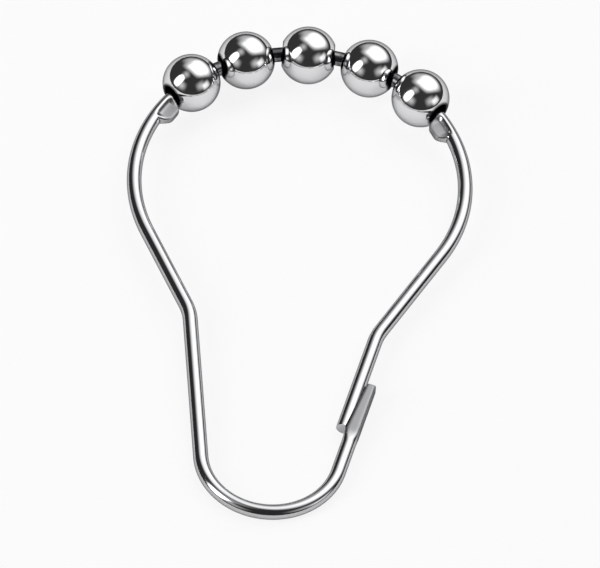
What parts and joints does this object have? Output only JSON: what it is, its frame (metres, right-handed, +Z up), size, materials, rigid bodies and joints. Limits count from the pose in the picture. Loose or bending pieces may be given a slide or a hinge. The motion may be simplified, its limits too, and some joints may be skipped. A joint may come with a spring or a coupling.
{
  "type": "shower curtain hook",
  "caption": "Bent-wire hook for a shower curtain: a round top threaded with rolling balls, a narrow waist, a U-shaped throat and a lapped clasp in one leg.",
  "frame": {"origin": "on the table that the hook lies on, at the middle of its bounding box", "axes": "+Z up from the table, +Y towards the round top with the balls, +X towards the leg with the clasp"},
  "size_m": [0.047, 0.082, 0.008],
  "materials": {
    "wire": "bright plated wire",
    "balls": "mirror-polished plating"
  },
  "bodies": {
    "wire": {"hook_wire": "wire"},
    "ball_1": {"roller_ball_1": "balls"},
    "ball_2": {"roller_ball_2": "balls"},
    "ball_3": {"roller_ball_3": "balls"},
    "ball_4": {"roller_ball_4": "balls"},
    "ball_5": {"roller_ball_5": "balls"}
  },
  "joints": [
    {"name": "ball_1_spin", "type": "hinge", "parent": "wire", "child": "ball_1", "pos_m": [-0.01578, 0.03054, 0.004], "axis": [0.7086, 0.7051, 0.0274], "continuous": true},
    {"name": "ball_2_spin", "type": "hinge", "parent": "wire", "child": "ball_2", "pos_m": [-0.00853, 0.03536, 0.004], "axis": [0.9243, 0.3814, 0.0148], "continuous": true},
    {"name": "ball_3_spin", "type": "hinge", "parent": "wire", "child": "ball_3", "pos_m": [0, 0.03705, 0.004], "axis": [1, 0, 0], "continuous": true},
    {"name": "ball_4_spin", "type": "hinge", "parent": "wire", "child": "ball_4", "pos_m": [0.00853, 0.03536, 0.004], "axis": [0.9243, -0.3814, -0.0148], "continuous": true},
    {"name": "ball_5_spin", "type": "hinge", "parent": "wire", "child": "ball_5", "pos_m": [0.01578, 0.03054, 0.004], "axis": [0.7086, -0.7051, -0.0274], "continuous": true}
  ]
}
